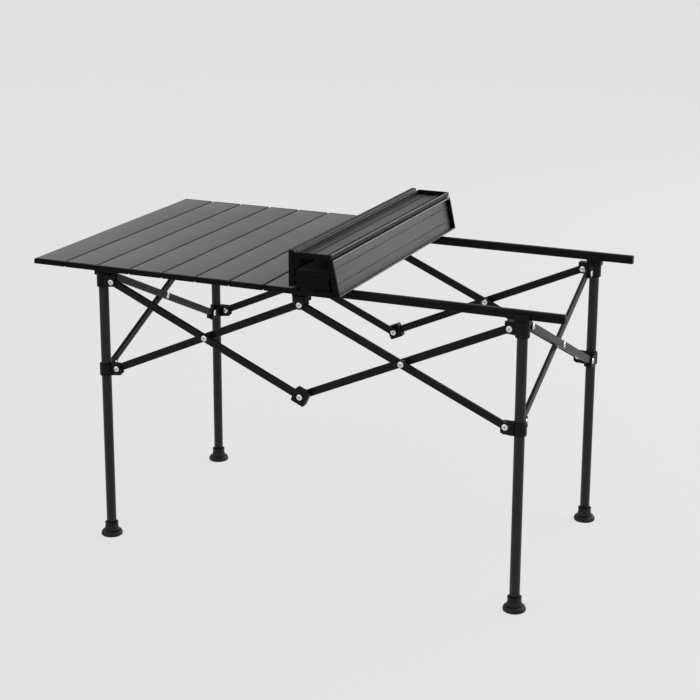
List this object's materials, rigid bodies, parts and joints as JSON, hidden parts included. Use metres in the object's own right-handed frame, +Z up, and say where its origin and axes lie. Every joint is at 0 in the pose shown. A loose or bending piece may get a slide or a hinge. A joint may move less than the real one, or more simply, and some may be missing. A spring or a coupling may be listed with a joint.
{
  "type": "folding camp table",
  "caption": "Folding camp table with a slatted roll-up top, part rolled up, on two rails over a frame of crossed scissor bars between four upright legs with sliding collars.",
  "frame": {"origin": "floor, under the middle of the table as it stands, part rolled", "axes": "+X along the long side, away from the slats that lie flat; +Y from the front side to the back; +Z up"},
  "size_m": [0.918, 0.534, 0.5744],
  "materials": {
    "slats": "grey anodised, satin, with black moulded end caps",
    "rails": "black powder coat, satin",
    "bars": "black powder coat, satin",
    "legs": "black powder coat, satin",
    "feet": "matt black",
    "joint_fittings": "black moulded nylon with bright rivets",
    "rivets": "bright"
  },
  "bodies": {
    "front_rail": {"front_rail_left": "rails", "front_rail_right": "rails", "front_rail_core": "rails", "front_middle_bracket": "joint_fittings"},
    "front_bar_1": {"front_bar_1": "bars", "front_left_crossing": "rivets", "front_knuckle": "joint_fittings"},
    "front_bar_2": {"front_bar_2": "bars"},
    "front_bar_3": {"front_bar_3": "bars", "front_right_crossing": "rivets"},
    "front_bar_4": {"front_bar_4": "bars"},
    "left_bar_1": {"left_bar_1": "bars", "left_crossing": "rivets"},
    "left_bar_2": {"left_bar_2": "bars"},
    "right_bar_1": {"right_bar_1": "bars", "right_crossing": "rivets"},
    "right_bar_2": {"right_bar_2": "bars"},
    "back_bar_1": {"back_bar_1": "bars", "back_right_crossing": "rivets", "back_knuckle": "joint_fittings"},
    "back_bar_2": {"back_bar_2": "bars"},
    "back_bar_3": {"back_bar_3": "bars", "back_left_crossing": "rivets"},
    "back_bar_4": {"back_bar_4": "bars"},
    "back_rail": {"back_rail_left": "rails", "back_rail_right": "rails", "back_rail_core": "rails", "back_middle_bracket": "joint_fittings"},
    "front_left_leg": {"front_left_leg": "legs", "front_left_foot": "feet", "front_left_hub": "joint_fittings"},
    "front_left_slider": {"front_left_slider": "joint_fittings"},
    "front_right_leg": {"front_right_leg": "legs", "front_right_foot": "feet", "front_right_hub": "joint_fittings"},
    "front_right_slider": {"front_right_slider": "joint_fittings"},
    "back_right_leg": {"back_right_leg": "legs", "back_right_foot": "feet", "back_right_hub": "joint_fittings"},
    "back_right_slider": {"back_right_slider": "joint_fittings"},
    "back_left_leg": {"back_left_leg": "legs", "back_left_foot": "feet", "back_left_hub": "joint_fittings"},
    "back_left_slider": {"back_left_slider": "joint_fittings"},
    "top": {"slat_08": "slats", "slat_09": "slats"},
    "slat_01": {"slat_01": "slats"},
    "slat_02": {"slat_02": "slats"},
    "slat_03": {"slat_03": "slats"},
    "slat_04": {"slat_04": "slats"},
    "slat_05": {"slat_05": "slats"},
    "slat_06": {"slat_06": "slats"},
    "slat_07": {"slat_07": "slats"},
    "slat_10": {"slat_10": "slats"},
    "slat_11": {"slat_11": "slats"},
    "slat_12": {"slat_12": "slats"},
    "slat_13": {"slat_13": "slats"},
    "slat_14": {"slat_14": "slats"},
    "slat_15": {"slat_15": "slats"}
  },
  "joints": [
    {"name": "fold", "type": "hinge", "parent": "front_rail", "child": "front_bar_3", "pos_m": [0.015, -0.205, 0.47], "axis": [0, 1, 0], "range_deg": [0, 51]},
    {"name": "front_bar_2_pivot", "type": "hinge", "parent": "front_rail", "child": "front_bar_2", "pos_m": [0.015, -0.205, 0.47], "axis": [0, 1, 0], "range_deg": [-51, 0]},
    {"name": "front_left_crossing_pivot", "type": "hinge", "parent": "front_bar_2", "child": "front_bar_1", "pos_m": [-0.1625, -0.205, 0.391], "axis": [0, 1, 0], "range_deg": [0, 102]},
    {"name": "front_right_crossing_pivot", "type": "hinge", "parent": "front_bar_3", "child": "front_bar_4", "pos_m": [0.1925, -0.205, 0.391], "axis": [0, 1, 0], "range_deg": [-102, 0]},
    {"name": "front_left_hub_pivot", "type": "hinge", "parent": "front_bar_1", "child": "front_left_leg", "pos_m": [-0.34, -0.205, 0.47], "axis": [0, 1, 0], "range_deg": [-51, 0]},
    {"name": "front_left_slider_pivot", "type": "hinge", "parent": "front_bar_2", "child": "front_left_slider", "pos_m": [-0.34, -0.205, 0.312], "axis": [0, 1, 0], "range_deg": [0, 51]},
    {"name": "front_right_hub_pivot", "type": "hinge", "parent": "front_bar_4", "child": "front_right_leg", "pos_m": [0.37, -0.205, 0.47], "axis": [0, 1, 0], "range_deg": [0, 51]},
    {"name": "front_right_slider_pivot", "type": "hinge", "parent": "front_bar_3", "child": "front_right_slider", "pos_m": [0.37, -0.205, 0.312], "axis": [0, 1, 0], "range_deg": [-51, 0]},
    {"name": "left_bar_1_pivot", "type": "hinge", "parent": "front_left_leg", "child": "left_bar_1", "pos_m": [-0.361, -0.1775, 0.47], "axis": [1, 0, 0], "range_deg": [-51, 0]},
    {"name": "left_crossing_pivot", "type": "hinge", "parent": "left_bar_1", "child": "left_bar_2", "pos_m": [-0.361, 0, 0.391], "axis": [1, 0, 0], "range_deg": [0, 102]},
    {"name": "back_left_slider_pivot", "type": "hinge", "parent": "left_bar_1", "child": "back_left_slider", "pos_m": [-0.361, 0.1775, 0.312], "axis": [1, 0, 0], "range_deg": [0, 51]},
    {"name": "back_left_hub_pivot", "type": "hinge", "parent": "left_bar_2", "child": "back_left_leg", "pos_m": [-0.361, 0.1775, 0.47], "axis": [1, 0, 0], "range_deg": [-51, 0]},
    {"name": "right_bar_1_pivot", "type": "hinge", "parent": "front_right_leg", "child": "right_bar_1", "pos_m": [0.391, -0.1775, 0.47], "axis": [1, 0, 0], "range_deg": [-51, 0]},
    {"name": "right_crossing_pivot", "type": "hinge", "parent": "right_bar_1", "child": "right_bar_2", "pos_m": [0.391, 0, 0.391], "axis": [1, 0, 0], "range_deg": [0, 102]},
    {"name": "back_right_slider_pivot", "type": "hinge", "parent": "right_bar_1", "child": "back_right_slider", "pos_m": [0.391, 0.1775, 0.312], "axis": [1, 0, 0], "range_deg": [0, 51]},
    {"name": "back_right_hub_pivot", "type": "hinge", "parent": "right_bar_2", "child": "back_right_leg", "pos_m": [0.391, 0.1775, 0.47], "axis": [1, 0, 0], "range_deg": [-51, 0]},
    {"name": "back_bar_4_pivot", "type": "hinge", "parent": "back_left_leg", "child": "back_bar_4", "pos_m": [-0.34, 0.205, 0.47], "axis": [0, 1, 0], "range_deg": [0, 51]},
    {"name": "back_left_crossing_pivot", "type": "hinge", "parent": "back_bar_4", "child": "back_bar_3", "pos_m": [-0.1625, 0.205, 0.391], "axis": [0, 1, 0], "range_deg": [-102, 0]},
    {"name": "back_rail_pivot", "type": "hinge", "parent": "back_bar_3", "child": "back_rail", "pos_m": [0.015, 0.205, 0.47], "axis": [0, 1, 0], "range_deg": [0, 51]},
    {"name": "back_bar_1_pivot", "type": "hinge", "parent": "back_right_leg", "child": "back_bar_1", "pos_m": [0.37, 0.205, 0.47], "axis": [0, 1, 0], "range_deg": [-51, 0]},
    {"name": "back_right_crossing_pivot", "type": "hinge", "parent": "back_bar_1", "child": "back_bar_2", "pos_m": [0.1925, 0.205, 0.391], "axis": [0, 1, 0], "range_deg": [0, 102]},
    {"name": "top_lift", "type": "slide", "parent": "front_rail", "child": "top", "axis": [0, 0, 1], "range_m": [0, 0.15]},
    {"name": "curl", "type": "hinge", "parent": "top", "child": "slat_07", "pos_m": [-0.0248, 0, 0.5118], "axis": [0, 1, 0], "range_deg": [0, 30]},
    {"name": "slat_06_hinge", "type": "hinge", "parent": "slat_07", "child": "slat_06", "pos_m": [-0.087, 0, 0.5118], "axis": [0, 1, 0], "range_deg": [0, 30]},
    {"name": "slat_05_hinge", "type": "hinge", "parent": "slat_06", "child": "slat_05", "pos_m": [-0.1492, 0, 0.5118], "axis": [0, 1, 0], "range_deg": [0, 30]},
    {"name": "slat_04_hinge", "type": "hinge", "parent": "slat_05", "child": "slat_04", "pos_m": [-0.2114, 0, 0.5118], "axis": [0, 1, 0], "range_deg": [0, 30]},
    {"name": "slat_03_hinge", "type": "hinge", "parent": "slat_04", "child": "slat_03", "pos_m": [-0.2736, 0, 0.5118], "axis": [0, 1, 0], "range_deg": [0, 30]},
    {"name": "slat_02_hinge", "type": "hinge", "parent": "slat_03", "child": "slat_02", "pos_m": [-0.3358, 0, 0.5118], "axis": [0, 1, 0], "range_deg": [0, 30]},
    {"name": "slat_01_hinge", "type": "hinge", "parent": "slat_02", "child": "slat_01", "pos_m": [-0.398, 0, 0.5118], "axis": [0, 1, 0], "range_deg": [0, 30]},
    {"name": "unroll", "type": "hinge", "parent": "top", "child": "slat_10", "pos_m": [0.104, 0, 0.5073], "axis": [0, 1, 0], "range_deg": [0, 102]},
    {"name": "slat_11_hinge", "type": "hinge", "parent": "slat_10", "child": "slat_11", "pos_m": [0.09111, 0, 0.56795], "axis": [0, 1, 0], "range_deg": [0, 78]},
    {"name": "slat_12_hinge", "type": "hinge", "parent": "slat_11", "child": "slat_12", "pos_m": [0.02541, 0, 0.56795], "axis": [0, 1, 0], "range_deg": [0, 90]},
    {"name": "slat_13_hinge", "type": "hinge", "parent": "slat_12", "child": "slat_13", "pos_m": [0.02531, 0, 0.51965], "axis": [0, 1, 0], "range_deg": [0, 3]},
    {"name": "slat_14_hinge", "type": "hinge", "parent": "slat_13", "child": "slat_14", "pos_m": [0.09271, 0, 0.52445], "axis": [0, 1, 0], "range_deg": [0, 90]},
    {"name": "slat_15_hinge", "type": "hinge", "parent": "slat_14", "child": "slat_15", "pos_m": [0.03001, 0, 0.53385], "axis": [0, 1, 0], "range_deg": [-90, 0]}
  ],
  "couplings": [
    {"joint": "front_bar_2_pivot", "follows": "fold", "ratio": -1},
    {"joint": "front_left_crossing_pivot", "follows": "fold", "ratio": 2},
    {"joint": "front_right_crossing_pivot", "follows": "fold", "ratio": -2},
    {"joint": "front_left_hub_pivot", "follows": "fold", "ratio": -1},
    {"joint": "front_left_slider_pivot", "follows": "fold", "ratio": 1},
    {"joint": "front_right_hub_pivot", "follows": "fold", "ratio": 1},
    {"joint": "front_right_slider_pivot", "follows": "fold", "ratio": -1},
    {"joint": "left_bar_1_pivot", "follows": "fold", "ratio": -1},
    {"joint": "left_crossing_pivot", "follows": "fold", "ratio": 2},
    {"joint": "back_left_slider_pivot", "follows": "fold", "ratio": 1},
    {"joint": "back_left_hub_pivot", "follows": "fold", "ratio": -1},
    {"joint": "right_bar_1_pivot", "follows": "fold", "ratio": -1},
    {"joint": "right_crossing_pivot", "follows": "fold", "ratio": 2},
    {"joint": "back_right_slider_pivot", "follows": "fold", "ratio": 1},
    {"joint": "back_right_hub_pivot", "follows": "fold", "ratio": -1},
    {"joint": "back_bar_4_pivot", "follows": "fold", "ratio": 1},
    {"joint": "back_left_crossing_pivot", "follows": "fold", "ratio": -2},
    {"joint": "back_rail_pivot", "follows": "fold", "ratio": 1},
    {"joint": "back_bar_1_pivot", "follows": "fold", "ratio": -1},
    {"joint": "back_right_crossing_pivot", "follows": "fold", "ratio": 2},
    {"joint": "slat_06_hinge", "follows": "curl", "ratio": 1},
    {"joint": "slat_05_hinge", "follows": "curl", "ratio": 1},
    {"joint": "slat_04_hinge", "follows": "curl", "ratio": 1},
    {"joint": "slat_03_hinge", "follows": "curl", "ratio": 1},
    {"joint": "slat_02_hinge", "follows": "curl", "ratio": 1},
    {"joint": "slat_01_hinge", "follows": "curl", "ratio": 1},
    {"joint": "slat_11_hinge", "follows": "unroll", "ratio": 0.76471},
    {"joint": "slat_12_hinge", "follows": "unroll", "ratio": 0.88235},
    {"joint": "slat_13_hinge", "follows": "unroll", "ratio": 0.029412},
    {"joint": "slat_14_hinge", "follows": "unroll", "ratio": 0.88235},
    {"joint": "slat_15_hinge", "follows": "unroll", "ratio": -0.88235}
  ]
}
